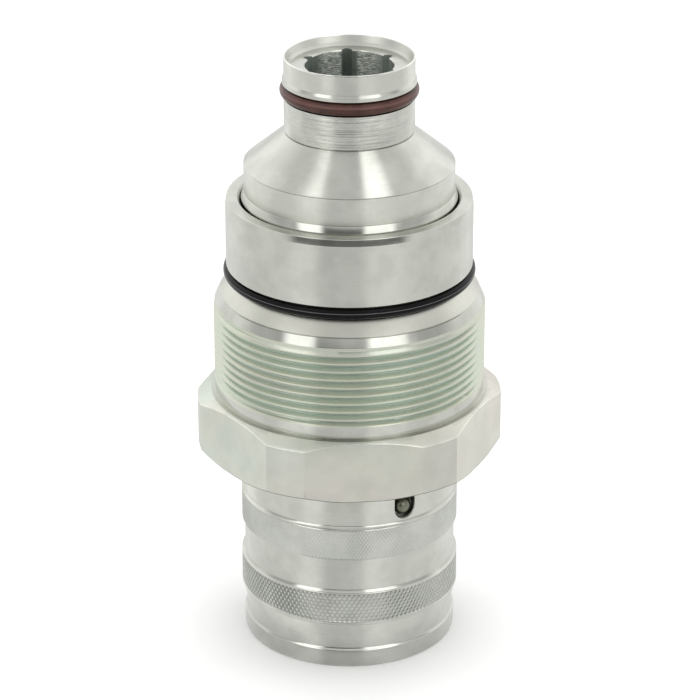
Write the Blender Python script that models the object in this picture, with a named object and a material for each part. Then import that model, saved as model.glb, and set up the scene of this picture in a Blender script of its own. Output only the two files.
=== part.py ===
"""Screw-in flat-face quick-coupler cartridge valve, female half, for a coupler block.

The long axis is +Z. The origin is on the axis, in the plane of the sleeve's coupling rim, so the
object stands on it: the nose that enters the block points up, the sleeve that a plug enters
points down. Sizes are in millimetres, with heights given from the hexagon's seat face; each
mesh is lifted by SEAT_HEIGHT and turned into metres when it is made.
The object is held at rest: no plug fitted, valve shut, sleeve cocked back by the locking balls.

In every profile the columns are radius and height, one (r, z) pair for each corner.
"front" means the coupling end, which is the low end.
"""

import math
from typing import NamedTuple

import bmesh
import bpy
from mathutils import Matrix, Vector

MM = 0.001
SEG = 24  # sides of every coaxial round piece, all with a corner on +X, so clearances stay even
WELD = 0.001  # vertices of a lathed piece closer than this are joined
SHARP_ANGLE = math.radians(32)

# Carrier: hexagon, thread, spigot and guide collar
HEX_ACROSS_FLATS = 50.0
HEX_CORNER_R = 27.0
HEX_FIRST_NORMAL = -84.25  # degrees from +X
HEX_BOTTOM_Z = -11.26
HEX_RECESS_R = 20.2
THREAD_MAJOR_R = 23.9
THREAD_DEPTH = 0.92
THREAD_PITCH = 1.5
THREAD_TOP_Z = 17.0
THREAD_BOTTOM_Z = 2.3
THREAD_VALLEY_Z = 15.3  # a valley at +X
THREAD_TAPER_Z = 16.3  # the major radius shrinks above this height
THREAD_TAPER = 0.445  # radius lost per unit of height
THREAD_TOP_RUNOUT = 1.8
THREAD_BOTTOM_RUNOUT = 0.7
SPIGOT_R = 20.2
SPIGOT_TOP_Z = 28.0
GUIDE_BORE_R = 17.1
SPRING_BORE_R = 18.6
SPRING_BORE_BOTTOM_Z = 5.5
COLLAR_R = 21.6
COLLAR_TOP_Z = 35.9
COLLAR_BORE_R = 19.1
COLLAR_CLEARANCE = 0.15  # between collar and spigot, both around and above it

# Core: nose adapter, valve housing and what they hold
NOSE_TOP_Z = 61.3
NOSE_FACE_Z = 59.6
NOSE_R = 11.3
NOSE_BORE_R = 7.6
SLOT_COUNT = 6
SLOT_WIDTH = 1.8
SLOT_TIP_WIDTH = 0.4
SLOT_DEPTH_R = 8.9
SLOT_BOTTOM_Z = 46.0
SLOT_PHASE = 33.3
SHOULDER_R = 18.35
LAND_R = 18.85
HOUSING_R = 16.95
HOUSING_FRONT_R = 15.6
FRONT_Z = -46.6  # front face shared by housing, stem, tube and retainer
STEM_HEAD_R = 6.45
STEM_ROD_R = 3.2
STEM_TIP_R = 2.4
STEM_HOLE_R = 2.6  # bore of the spider and the nut around the stem's tip
SPIDER_R = 10.4
SPIDER_BOTTOM_Z = 10.0
SPIDER_TOP_Z = 13.5
PORT_COUNT = 6
PORT_R = 2.2
PORT_CENTRE_R = 6.5
NUT_APOTHEM = 4.3
NUT_BOTTOM_Z = 13.7
NUT_TOP_Z = 17.0

# Heights of rings at the middle of their grooves, and axial widths of grooves and circlips
WIPER_GROOVE_Z = -7.0
ROD_SEAL_Z = -1.1
ADAPTER_SEAL_Z = -0.7
STEM_SEAL_Z = -44.65
STOP_RING_Z = -45.4
SEAT_CIRCLIP_Z = 30.0
CORE_CIRCLIP_Z = -12.2
CIRCLIP_THICKNESS = 1.0
CIRCLIP_GROOVE_WIDTH = 1.3

# Locking set
BALL_COUNT = 12
BALL_R = 2.0
BALL_CENTRE_R = 14.3
BALL_Z = -40.5
BALL_PHASE = 7.5
BALL_HOLE_R = BALL_R + 0.15
LOCK_BALL_R = 1.5
LOCK_BALL_CENTRE_R = 17.25
LOCK_BALL_Z = -16.6
LOCK_BALL_ANGLE = -58.9
LOCK_SEAT_R = LOCK_BALL_R + 0.1
NOTCH_WIDTH = 4.0
NOTCH_LENGTH = 4.5  # from the centre of its round end up to the open end
CUTTER_SIDES = 10  # of every round hole

# Sleeve and valve tube
SLEEVE_REAR_Z = -13.4
SLEEVE_FRONT_Z = -46.95
SLEEVE_R = 18.9
SLEEVE_BORE_R = 17.15
TUBE_R = 9.0
TUBE_BORE_R = 7.2

SEAT_HEIGHT = -SLEEVE_FRONT_Z  # the hexagon's seat face above the coupling rim


class Look(NamedTuple):
    colour: tuple
    metallic: float
    roughness: float


STEEL = Look(colour=(0.62, 0.63, 0.60), metallic=1.0, roughness=0.30)
BRIGHT = Look(colour=(0.72, 0.72, 0.68), metallic=1.0, roughness=0.22)
SPRING = Look(colour=(0.42, 0.43, 0.44), metallic=1.0, roughness=0.35)
BALL = Look(colour=(0.80, 0.80, 0.80), metallic=1.0, roughness=0.10)
BLACK = Look(colour=(0.012, 0.012, 0.013), metallic=0.0, roughness=0.55)
BROWN = Look(colour=(0.085, 0.052, 0.050), metallic=0.0, roughness=0.50)
PTFE = Look(colour=(0.75, 0.73, 0.66), metallic=0.0, roughness=0.45)

# Name, centre radius, centre height, section radius, look, sides of the section
ROUND_RINGS = [
    ("body_oring", 21.2, 22.3, 0.9, BLACK, 8),
    ("rod_seal", 17.95, ROD_SEAL_Z, 0.88, BLACK, 6),
    ("nose_oring", 10.85, 55.3, 1.15, BROWN, 8),
    ("adapter_seal", 13.35, ADAPTER_SEAL_Z, 0.72, BLACK, 6),
    ("stem_seal", 5.78, STEM_SEAL_Z, 0.75, BLACK, 6),
    ("tube_seal", 10.06, -15.25, 0.84, BLACK, 6),
    ("face_seal", 7.8, -46.0, 0.55, BLACK, 6),
]

# Name, mean radius, wire diameter, bottom z, top z, live turns, steps in a turn
COILS = [
    ("return_spring", 16.9, 2.0, 10.3, 28.1, 3.5, 12),
    ("valve_spring", 9.0, 1.5, -9.5, 9.8, 4, 12),
    ("ring_spring", 10.9, 1.25, -35.8, -18.2, 4, 12),
    ("sleeve_spring", 16.1, 1.4, -32.8, -19.4, 4, 16),
]
COIL_SIDES = 5
CLOSED_PITCH = 1.09  # pitch of a closed turn, in wire diameters


# ---- Objects and materials ----


def clear_scene():
    for obj in list(bpy.data.objects):
        bpy.data.objects.remove(obj, do_unlink=True)


def make_object(name, shape, origin=(0.0, 0.0, 0.0)):
    """Turns a bmesh in millimetres into a named object in metres."""
    bmesh.ops.recalc_face_normals(shape, faces=shape.faces)
    shift = Matrix.Translation(-Vector(origin))
    bmesh.ops.transform(shape, matrix=Matrix.Scale(MM, 4) @ shift, verts=shape.verts)
    mesh = bpy.data.meshes.new(name)
    shape.to_mesh(mesh)
    shape.free()
    obj = bpy.data.objects.new(name, mesh)
    obj.location = (Vector(origin) + Vector((0, 0, SEAT_HEIGHT))) * MM
    bpy.context.scene.collection.objects.link(obj)
    return obj


def make_material(name, look):
    material = bpy.data.materials.new(name)
    material.use_nodes = True
    shader = material.node_tree.nodes["Principled BSDF"]
    shader.inputs["Base Color"].default_value = (*look.colour, 1.0)
    shader.inputs["Metallic"].default_value = look.metallic
    shader.inputs["Roughness"].default_value = look.roughness
    return material


def finish(name, shape, look, origin=(0.0, 0.0, 0.0)):
    """Makes a visible piece with its own material and smooth shading between sharp edges."""
    obj = make_object(name, shape, origin)
    mesh = obj.data
    mesh.materials.append(make_material("m_" + name, look))
    for polygon in mesh.polygons:
        polygon.use_smooth = True
    mesh.set_sharp_from_angle(angle=SHARP_ANGLE)
    return obj


def cut(obj, cutter_name, shape):
    """Takes a shape away from a piece, keeping the cutter as a hidden helper."""
    cutter = make_object(cutter_name, shape)
    cutter.hide_render = True
    cutter.display_type = "WIRE"
    modifier = obj.modifiers.new("cut_" + cutter.name, "BOOLEAN")
    modifier.operation = "DIFFERENCE"
    modifier.solver = "EXACT"
    modifier.object = cutter


# ---- Outlines and frames ----


def on_circle(radius, angle, z):
    return (radius * math.cos(angle), radius * math.sin(angle), z)


def circle(radius, sides, centre=(0.0, 0.0)):
    angles = [2 * math.pi * k / sides for k in range(sides)]
    return [
        (centre[0] + radius * math.cos(angle), centre[1] + radius * math.sin(angle))
        for angle in angles
    ]


def rectangle(inner_r, outer_r, low, high):
    return [(inner_r, low), (outer_r, low), (outer_r, high), (inner_r, high)]


def groove(mouth_r, floor_r, middle_z, width):
    """Four profile points of a square groove, going up; a negative width makes them go down."""
    return rectangle(mouth_r, floor_r, middle_z - width / 2, middle_z + width / 2)


def circlip_section(inner_r, outer_r, middle_z):
    half = CIRCLIP_THICKNESS / 2
    return rectangle(inner_r, outer_r, middle_z - half, middle_z + half)


def outward(degrees, z):
    """A frame whose third axis points away from Z at this angle, its second axis along Z."""
    away = Vector(on_circle(1.0, math.radians(degrees), 0))
    up = Vector((0, 0, 1))
    side = up.cross(away)
    frame = Matrix((side, up, away)).transposed().to_4x4()
    return Matrix.Translation(Vector((0, 0, z))) @ frame


def ball_angle(index):
    """Degrees from +X of a locking ball and its hole."""
    return BALL_PHASE + 360 * index / BALL_COUNT


# ---- Solids ----


def add_section(shape, profile, angle):
    """Adds the vertices of an (r, z) profile, standing at an angle around Z."""
    return [shape.verts.new(on_circle(r, angle, z)) for r, z in profile]


def bridge(shape, rows):
    """Joins each closed row of vertices to the next with quads."""
    for here, there in zip(rows, rows[1:]):
        count = len(here)
        for k in range(count):
            n = (k + 1) % count
            shape.faces.new((here[k], there[k], there[n], here[n]))


def bridge_capped(shape, rows):
    bridge(shape, rows)
    shape.faces.new(rows[0])
    shape.faces.new(rows[-1])


def lathe(name, column, look):
    """A closed (r, z) profile turned about Z. column(turn) gives it for each part of a turn."""
    shape = bmesh.new()
    turns = [i / SEG for i in range(SEG + 1)]
    rows = [add_section(shape, column(turn), 2 * math.pi * turn) for turn in turns]
    bridge(shape, rows)
    bmesh.ops.remove_doubles(shape, verts=shape.verts, dist=WELD)
    return finish(name, shape, look)


def turned(name, profile, look):
    return lathe(name, lambda turn: profile, look)


def shaft(name, profile, look):
    """A solid turned piece: the open profile runs from the axis out and back to the axis."""
    shape = bmesh.new()
    inner = profile[1:-1]
    bottom = shape.verts.new((0, 0, profile[0][1]))
    top = shape.verts.new((0, 0, profile[-1][1]))
    rows = [add_section(shape, inner, 2 * math.pi * i / SEG) for i in range(SEG)]
    for i in range(SEG):
        here, there = rows[i], rows[(i + 1) % SEG]
        for k in range(len(inner) - 1):
            shape.faces.new((here[k], there[k], there[k + 1], here[k + 1]))
        shape.faces.new((bottom, there[0], here[0]))
        shape.faces.new((top, here[-1], there[-1]))
    return finish(name, shape, look)


def split_ring(name, profile, look, first):
    """A ring starting at part number first of SEG, with the part just before it left open."""
    shape = bmesh.new()
    rows = [add_section(shape, profile, 2 * math.pi * (first + i) / SEG) for i in range(SEG)]
    bridge_capped(shape, rows)
    return finish(name, shape, look)


def ball(name, centre, radius, around, rings):
    shape = bmesh.new()
    bmesh.ops.create_uvsphere(shape, u_segments=around, v_segments=rings, radius=radius)
    bmesh.ops.translate(shape, verts=shape.verts, vec=Vector(centre))
    return finish(name, shape, BALL, origin=centre)


def coil(name, mean_r, wire, bottom_z, top_z, live_turns, steps):
    """A compression spring between two planes, with one closed turn at each end."""
    closed_pitch = wire * CLOSED_PITCH
    low, high = bottom_z + wire / 2, top_z - wire / 2
    live_pitch = (high - low - 2 * closed_pitch) / live_turns
    turns = live_turns + 2

    def height(turn):
        if turn < 1:
            return low + closed_pitch * turn
        if turn > live_turns + 1:
            return high - closed_pitch * (turns - turn)
        return low + closed_pitch + live_pitch * (turn - 1)

    shape = bmesh.new()
    rows = []
    total = round(turns * steps)
    for i in range(total + 1):
        turn = turns * i / total
        section = circle(wire / 2, COIL_SIDES, (mean_r, height(turn)))
        rows.append(add_section(shape, section, 2 * math.pi * turn))
    bridge_capped(shape, rows)
    return finish(name, shape, SPRING)


def prism(shape, outline, low, high, place):
    """Adds a straight prism: outline in the plane, low and high along its normal, then placed."""
    bottom = [shape.verts.new(place @ Vector((u, v, low))) for u, v in outline]
    top = [shape.verts.new(place @ Vector((u, v, high))) for u, v in outline]
    count = len(outline)
    for k in range(count):
        n = (k + 1) % count
        shape.faces.new((bottom[k], bottom[n], top[n], top[k]))
    shape.faces.new(bottom[::-1])
    shape.faces.new(top)


# ---- Carrier ----


def lead_radius(z):
    """The outside of the thread: straight, then tapering in towards the nose."""
    return min(THREAD_MAJOR_R, THREAD_MAJOR_R - THREAD_TAPER * (z - THREAD_TAPER_Z))


def thread_column(turn):
    """The thread's crests and valleys down one side, top to bottom, run out at both ends."""
    points = []
    count = int((THREAD_TOP_Z - THREAD_BOTTOM_Z) / THREAD_PITCH) + 3
    for k in range(-1, count):
        valley = THREAD_VALLEY_Z + THREAD_PITCH * (turn - k)
        for z, depth in ((valley + THREAD_PITCH / 2, 0.0), (valley, THREAD_DEPTH)):
            z = min(max(z, THREAD_BOTTOM_Z), THREAD_TOP_Z)
            fade = min(
                1.0,
                (THREAD_TOP_Z - z) / THREAD_TOP_RUNOUT,
                (z - THREAD_BOTTOM_Z) / THREAD_BOTTOM_RUNOUT,
            )
            points.append((lead_radius(z) - depth * fade, z))
    return points


def hex_body_column(turn):
    return [
        # Spigot, down to the top of the thread
        (SPRING_BORE_R, SPIGOT_TOP_Z), (SPIGOT_R, SPIGOT_TOP_Z), (SPIGOT_R, 21.15),
        (20.95, 21.15), (22.88, 18.55), (lead_radius(THREAD_TOP_Z), THREAD_TOP_Z),
        *thread_column(turn),
        # Seat face and the outside of the hexagon
        (THREAD_MAJOR_R, THREAD_BOTTOM_Z), (23.85, 0.3), (23.65, 0.12), (23.65, -0.12),
        (24.0, 0.0), (24.6, 0.0), (HEX_CORNER_R, -1.39), (HEX_CORNER_R, -10.2),
        # Underside and recess
        (25.2, HEX_BOTTOM_Z), (20.5, HEX_BOTTOM_Z), (HEX_RECESS_R, -10.96),
        (HEX_RECESS_R, -9.0), (GUIDE_BORE_R, -9.0),
        # Guide bore with the wiper and seal grooves, then the wider spring bore
        *groove(GUIDE_BORE_R, 18.4, WIPER_GROOVE_Z, 2.0),
        *groove(GUIDE_BORE_R, 19.0, ROD_SEAL_Z, 2.2),
        (GUIDE_BORE_R, SPRING_BORE_BOTTOM_Z), (SPRING_BORE_R, SPRING_BORE_BOTTOM_Z),
    ]


def hex_body():
    body = lathe("hex_body", hex_body_column, STEEL)
    # Everything outside the hexagon, as six slabs joined into one ring.
    outside = bmesh.new()
    corner_r = HEX_ACROSS_FLATS / 2 / math.cos(math.radians(30))
    section = rectangle(corner_r, outer_r=45.0, low=-12.5, high=1.2)
    rows = [
        add_section(outside, section, math.radians(HEX_FIRST_NORMAL + 30 + 60 * k))
        for k in range(6)
    ]
    bridge(outside, rows + rows[:1])
    cut(body, "cut_hex_flats", outside)


def guide_collar():
    fit_r = SPIGOT_R + COLLAR_CLEARANCE
    step_z = SPIGOT_TOP_Z + COLLAR_CLEARANCE
    profile = [
        # Outside, downwards
        (19.5, COLLAR_TOP_Z), (21.35, COLLAR_TOP_Z), (COLLAR_R, 34.7), (COLLAR_R, 23.65),
        (21.4, 23.45), (fit_r, 23.45),
        # Inside, upwards
        (fit_r, step_z), (COLLAR_BORE_R, step_z),
        *groove(COLLAR_BORE_R, 19.9, SEAT_CIRCLIP_Z, CIRCLIP_GROOVE_WIDTH),
        (COLLAR_BORE_R, 35.5),
    ]
    turned("guide_collar", profile, STEEL)


def spring_seat():
    turned("spring_seat", rectangle(inner_r=15.3, outer_r=18.9, low=28.3, high=29.3), STEEL)


def wiper_ring():
    profile = [
        (17.1, -7.85), (18.25, -7.85), (18.25, -6.15), (17.35, -6.15), (17.35, -6.9),
        (17.08, -7.3),
    ]
    turned("wiper_ring", profile, PTFE)


# ---- Core ----


def nose_adapter():
    profile = [
        # Nose face and rim
        (7.75, NOSE_FACE_Z), (10.1, NOSE_FACE_Z), (10.5, 60.15), (11.0, NOSE_TOP_Z),
        (11.2, NOSE_TOP_Z), (NOSE_R, 61.1),
        # Outside with the nose O-ring's groove
        (NOSE_R, 57.8), (11.6, 57.3), (11.6, 56.65), (9.6, 56.65), (9.6, 54.0),
        (NOSE_R, 54.0), (NOSE_R, 47.95),
        # Cone, shoulder and land
        (18.27, 42.12), (SHOULDER_R, 42.0), (SHOULDER_R, 37.1), (LAND_R, 35.9),
        (LAND_R, 33.0), (15.0, 33.0), (15.0, 10.3), (14.0, 10.3),
        # Lower end with its seal groove
        *groove(14.0, 12.6, ADAPTER_SEAL_Z, -2.2),
        (13.7, -3.0),
        # Bore, upwards
        (10.5, -3.0), (10.5, 13.7), (9.0, 13.7), (9.0, 42.5), (NOSE_BORE_R, 44.0),
        (NOSE_BORE_R, NOSE_FACE_Z - 0.15),
    ]
    nose = turned("nose_adapter", profile, STEEL)
    # Slots in the bore: straight to the bore's radius, then narrowing to the tip.
    slots = bmesh.new()
    half = SLOT_WIDTH / 2
    tip = SLOT_TIP_WIDTH / 2
    inside_r = 6.0
    outline = [
        (inside_r, -half), (NOSE_BORE_R, -half), (SLOT_DEPTH_R, -tip),
        (SLOT_DEPTH_R, tip), (NOSE_BORE_R, half), (inside_r, half),
    ]
    for k in range(SLOT_COUNT):
        place = Matrix.Rotation(math.radians(SLOT_PHASE + 360 * k / SLOT_COUNT), 4, "Z")
        prism(slots, outline, low=SLOT_BOTTOM_Z, high=62.0, place=place)
    cut(nose, "cut_drive_slots", slots)


def valve_housing():
    profile = [
        # Front rim and the slim front part, upwards
        (12.35, FRONT_Z), (15.4, FRONT_Z), (HOUSING_FRONT_R, -46.4),
        *groove(HOUSING_FRONT_R, 15.05, STOP_RING_Z, 1.4),
        (HOUSING_FRONT_R, -34.5), (14.9, -34.5), (14.9, -19.2),
        # Wide part and flange
        (HOUSING_R, -19.2),
        *groove(HOUSING_R, 16.2, CORE_CIRCLIP_Z, CIRCLIP_GROOVE_WIDTH),
        (HOUSING_R, 5.8), (18.45, 5.8), (18.45, 10.0),
        # Inside, downwards
        (14.15, 10.0), (14.15, -3.5), (12.0, -3.5), (12.0, -12.0), (9.15, -12.0),
        *groove(9.15, 11.0, -15.0, -2.4),
        (9.15, -18.0), (12.35, -18.0),
    ]
    housing = turned("valve_housing", profile, STEEL)
    holes = bmesh.new()
    for k in range(BALL_COUNT):
        place = outward(ball_angle(k), BALL_Z)
        prism(holes, circle(BALL_HOLE_R, CUTTER_SIDES), low=11.5, high=17.0, place=place)
    cut(housing, "cut_ball_holes", holes)
    seat = bmesh.new()
    place = outward(LOCK_BALL_ANGLE, LOCK_BALL_Z)
    prism(seat, circle(LOCK_SEAT_R, CUTTER_SIDES), low=15.6, high=18.0, place=place)
    cut(housing, "cut_lock_ball_seat", seat)


def stem():
    profile = [
        # Head with its seal groove
        (0, FRONT_Z), (6.25, FRONT_Z), (STEM_HEAD_R, -46.4),
        *groove(STEM_HEAD_R, 4.95, STEM_SEAL_Z, 1.6),
        (STEM_HEAD_R, -43.5),
        # Rod and tip
        (STEM_ROD_R, -41.0), (STEM_ROD_R, 9.7), (STEM_TIP_R, 9.7), (STEM_TIP_R, 18.3),
        (0, 18.5),
    ]
    shaft("stem", profile, STEEL)


def spider():
    section = rectangle(STEM_HOLE_R, SPIDER_R, SPIDER_BOTTOM_Z, SPIDER_TOP_Z)
    disc = turned("spider", section, STEEL)
    ports = bmesh.new()
    for centre in circle(PORT_CENTRE_R, PORT_COUNT):
        outline = circle(PORT_R, CUTTER_SIDES, centre)
        prism(ports, outline, low=9.0, high=15.0, place=Matrix.Identity(4))
    cut(disc, "cut_spider_ports", ports)


def stem_nut():
    def column(turn):
        from_flat = (360 * turn + 30) % 60 - 30  # degrees from the nearest flat's normal
        outer_r = NUT_APOTHEM / math.cos(math.radians(from_flat))
        return rectangle(STEM_HOLE_R, outer_r, NUT_BOTTOM_Z, NUT_TOP_Z)

    lathe("stem_nut", column, STEEL)


def tube_backup_ring():
    section = rectangle(inner_r=9.25, outer_r=10.9, low=-14.35, high=-13.9)
    turned("tube_backup_ring", section, PTFE)


def lock_ball():
    angle = math.radians(LOCK_BALL_ANGLE)
    centre = on_circle(LOCK_BALL_CENTRE_R, angle, LOCK_BALL_Z)
    ball("lock_ball", centre, LOCK_BALL_R, around=10, rings=8)


def split_rings():
    """Both circlips and the round-wire ring that stops the sleeve."""
    split_ring("seat_circlip", circlip_section(17.6, 19.7, SEAT_CIRCLIP_Z), SPRING, first=3)
    split_ring("core_circlip", circlip_section(16.3, 18.4, CORE_CIRCLIP_Z), SPRING, first=9)
    split_ring("sleeve_stop_ring", circle(0.62, 6, (15.7, STOP_RING_Z)), SPRING, first=15)


# ---- Sleeve, tube, retainer and locking balls ----


def locking_sleeve():
    profile = [
        # Outside, downwards from the rear
        (SLEEVE_BORE_R, SLEEVE_REAR_Z), (18.7, SLEEVE_REAR_Z), (SLEEVE_R, -13.6),
        (SLEEVE_R, -18.9), (19.4, -19.5), (19.4, -25.4), (SLEEVE_R, -25.55),
        (SLEEVE_R, -31.75), (19.48, -32.2), (19.48, -38.3), (18.67, -41.2), (18.67, -43.4),
        (19.0, -43.8), (19.0, -46.7), (18.75, SLEEVE_FRONT_Z),
        # Inside, upwards from the coupling rim
        (16.8, SLEEVE_FRONT_Z), (16.6, -46.75), (16.6, -40.5), (15.75, -36.8),
        (15.75, -33.0), (SLEEVE_BORE_R, -33.0),
    ]
    sleeve = turned("locking_sleeve", profile, STEEL)
    # A notch at the lock ball, open at the sleeve's rear and round at its lower end.
    notch = bmesh.new()
    half = NOTCH_WIDTH / 2
    outline = [(half, NOTCH_LENGTH), (-half, NOTCH_LENGTH)]
    for k in range(9):
        angle = math.pi + math.pi * k / 8
        outline.append((half * math.cos(angle), half * math.sin(angle)))
    prism(notch, outline, low=14.0, high=21.0, place=outward(LOCK_BALL_ANGLE, LOCK_BALL_Z))
    cut(sleeve, "cut_lock_notch", notch)


def valve_tube():
    profile = [
        # Outside, upwards to the flange
        (8.45, FRONT_Z), (8.85, FRONT_Z), (TUBE_R, -46.45), (TUBE_R, -11.8),
        (10.2, -11.8), (10.2, -9.8),
        # Bore, downwards to the narrow front
        (TUBE_BORE_R, -9.8), (TUBE_BORE_R, -42.8), (6.6, -43.4), (6.6, FRONT_Z),
        # Groove in the front face
        (7.15, FRONT_Z), (7.15, -45.4), (8.45, -45.4),
    ]
    turned("valve_tube", profile, BRIGHT)


def retainer_ring():
    profile = [
        (9.2, FRONT_Z), (11.45, FRONT_Z), (12.25, BALL_Z), (12.25, -36.0), (9.2, -36.0),
    ]
    turned("retainer_ring", profile, BRIGHT)


def locking_balls():
    for k in range(BALL_COUNT):
        centre = on_circle(BALL_CENTRE_R, math.radians(ball_angle(k)), BALL_Z)
        ball(f"locking_ball_{k + 1:02d}", centre, BALL_R, around=8, rings=6)


def build():
    clear_scene()
    hex_body()
    guide_collar()
    spring_seat()
    wiper_ring()
    nose_adapter()
    valve_housing()
    stem()
    spider()
    stem_nut()
    tube_backup_ring()
    lock_ball()
    split_rings()
    locking_sleeve()
    valve_tube()
    retainer_ring()
    locking_balls()
    for name, centre_r, centre_z, section_r, look, sides in ROUND_RINGS:
        turned(name, circle(section_r, sides, (centre_r, centre_z)), look)
    for spring in COILS:
        coil(*spring)


build()
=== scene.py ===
"""A push-pull coupling half: hexagon carrier, nose adapter and knurled locking sleeve.

The part stands upright, its axis on Z and its nose up. It rests on the rim of the sleeve, and the
camera looks at it from -Y, slightly from above. Profiles are (radius, height) in millimetres,
heights counted from the hexagon's seat face. Meshes are stored in metres.
"""

import math

import bmesh
import bpy
import numpy as np
from mathutils import Matrix, Vector


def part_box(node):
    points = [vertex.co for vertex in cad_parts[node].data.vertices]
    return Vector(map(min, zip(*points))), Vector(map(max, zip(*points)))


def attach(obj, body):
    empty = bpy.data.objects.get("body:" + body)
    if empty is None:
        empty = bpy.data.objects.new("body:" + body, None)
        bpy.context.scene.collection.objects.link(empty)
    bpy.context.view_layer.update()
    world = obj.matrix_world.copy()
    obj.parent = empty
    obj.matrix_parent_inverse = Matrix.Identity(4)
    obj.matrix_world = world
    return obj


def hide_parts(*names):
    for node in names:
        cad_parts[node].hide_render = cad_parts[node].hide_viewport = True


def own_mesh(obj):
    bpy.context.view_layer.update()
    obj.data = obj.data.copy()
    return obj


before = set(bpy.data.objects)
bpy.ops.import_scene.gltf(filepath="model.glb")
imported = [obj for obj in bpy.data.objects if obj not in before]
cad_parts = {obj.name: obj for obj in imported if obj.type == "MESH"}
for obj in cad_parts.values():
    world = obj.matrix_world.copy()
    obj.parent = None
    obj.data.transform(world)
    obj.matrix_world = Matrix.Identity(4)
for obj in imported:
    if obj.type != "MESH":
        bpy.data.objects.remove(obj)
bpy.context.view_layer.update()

MM = 0.001
TAU = 2 * math.pi
HEX_HEIGHT = 11.26
# height of the seat face in the shared frame
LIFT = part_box("hex_body")[0][2] / MM + HEX_HEIGHT

FOOT = -46.6  # shared lower end of housing, stem, tube and retainer
HOLE_ANGLE, HOLE_Z = -58.9, -16.6  # lock ball's place in the housing and the sleeve
FILLET = 0.08  # corner size where a profile point gives none
FILLET_STEPS = 3
WELD = 2e-4  # points nearer than this become one

# ---------------------------------------------------------------- profiles


def rounded(points, fillet=FILLET):
    """A closed (radius, z[, fillet]) profile with its corners rounded."""
    path = []
    for k, point in enumerate(points):
        size = point[2] if len(point) > 2 else fillet
        around = (point, points[k - 1], points[(k + 1) % len(points)])
        corner, before, after = (np.array(p[:2], float) for p in around)
        back, ahead = before - corner, after - corner
        back_length, ahead_length = np.linalg.norm(back), np.linalg.norm(ahead)
        back, ahead = back / back_length, ahead / ahead_length
        half = math.acos(float(np.clip(back @ ahead, -1, 1))) / 2
        # straight runs and needle corners stay as they are
        if size <= 0 or half > math.radians(88) or half < math.radians(5):
            path.append((corner[0], corner[1]))
            continue
        reach = min(size / math.tan(half), 0.42 * back_length, 0.42 * ahead_length)
        start, end = corner + back * reach, corner + ahead * reach
        for i in range(FILLET_STEPS + 1):
            t = i / FILLET_STEPS
            spot = (1 - t) ** 2 * start + 2 * t * (1 - t) * corner + t**2 * end
            path.append((float(spot[0]), float(spot[1])))
    return path


def rectangle(inner, outer, low, high):
    return [(inner, low), (outer, low), (outer, high), (inner, high)]


def circle(radius, sides, centre=(0.0, 0.0)):
    return [
        (
            centre[0] + radius * math.cos(TAU * k / sides),
            centre[1] + radius * math.sin(TAU * k / sides),
        )
        for k in range(sides)
    ]


def full_turn(columns):
    """Angles round a full turn; the last repeats the first exactly."""
    angles = np.linspace(0, TAU, columns + 1)
    angles[-1] = 0.0
    return angles


def hex_outline(angle, flat, corner, normal=0.0):
    """Radius of a hexagon with turned corners; normal is the direction of one flat in degrees."""
    off_flat = (np.degrees(angle) - normal + 30) % 60 - 30
    return np.minimum(flat / np.cos(np.radians(off_flat)), corner)


# ---------------------------------------------------------------- mesh building


class Shell:
    """Collects patches of faces, then welds them into one mesh."""

    def __init__(self):
        self.points, self.quads, self.triangles, self.count = [], [], [], 0

    def add(self, xyz):
        first = self.count
        self.points.append(np.asarray(xyz, float).reshape(-1, 3))
        self.count += len(self.points[-1])
        return first

    def grid(self, radius, z, angles):
        """Joins neighbouring rows and columns of (rows, columns) arrays."""
        radius, z = np.broadcast_arrays(np.asarray(radius, float), np.asarray(z, float))
        rows, columns = radius.shape
        turn = np.broadcast_to(angles, radius.shape)
        first = self.add(np.stack([radius * np.cos(turn), radius * np.sin(turn), z], -1))
        i = np.arange(rows * columns).reshape(rows, columns) + first
        corners = [i[:-1, :-1], i[:-1, 1:], i[1:, 1:], i[1:, :-1]]
        self.quads.append(np.stack(corners, -1).reshape(-1, 4))

    def rings(self, profile, angles):
        """A full turn of an open (radius, z) profile."""
        profile = np.asarray(profile, float)
        ones = np.ones((1, len(angles)))
        self.grid(profile[:, :1] * ones, profile[:, 1:] * ones, angles)

    def ring(self, radius, z, columns):
        angle = TAU * np.arange(columns) / columns
        return self.add(
            np.stack([radius * np.cos(angle), radius * np.sin(angle), np.full(columns, z)], -1)
        )

    def step(self, upper, upper_columns, lower, lower_columns):
        """Joins two (radius, z) rings that have different numbers of points."""
        top = self.ring(*upper, upper_columns)
        foot = self.ring(*lower, lower_columns)
        i = j = 0
        triangles = []
        while i < upper_columns or j < lower_columns:
            here, there = top + i % upper_columns, foot + j % lower_columns
            upper_first = (i + 1) / upper_columns <= (j + 1) / lower_columns
            if j >= lower_columns or (i < upper_columns and upper_first):
                triangles.append((here, top + (i + 1) % upper_columns, there))
                i += 1
            else:
                triangles.append((here, foot + (j + 1) % lower_columns, there))
                j += 1
        self.triangles.append(np.array(triangles))

    def welded(self):
        build = bmesh.new()
        made = [build.verts.new(p) for p in np.concatenate(self.points).tolist()]
        for block in self.quads + self.triangles:
            for face in block.tolist():
                build.faces.new([made[k] for k in face])
        bmesh.ops.remove_doubles(build, verts=build.verts, dist=WELD)
        bmesh.ops.recalc_face_normals(build, faces=build.faces)
        loose = [v for v in build.verts if not v.link_faces]
        bmesh.ops.delete(build, geom=loose, context="VERTS")
        return build


def to_data(build, name):
    """Turns a millimetre bmesh into mesh data in metres, lifted into the shared frame."""
    bmesh.ops.scale(build, verts=build.verts, vec=(MM, MM, MM))
    data = bpy.data.meshes.new(name)
    build.to_mesh(data)
    build.free()
    data.transform(Matrix.Translation((0, 0, LIFT * MM)))
    return data


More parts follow.
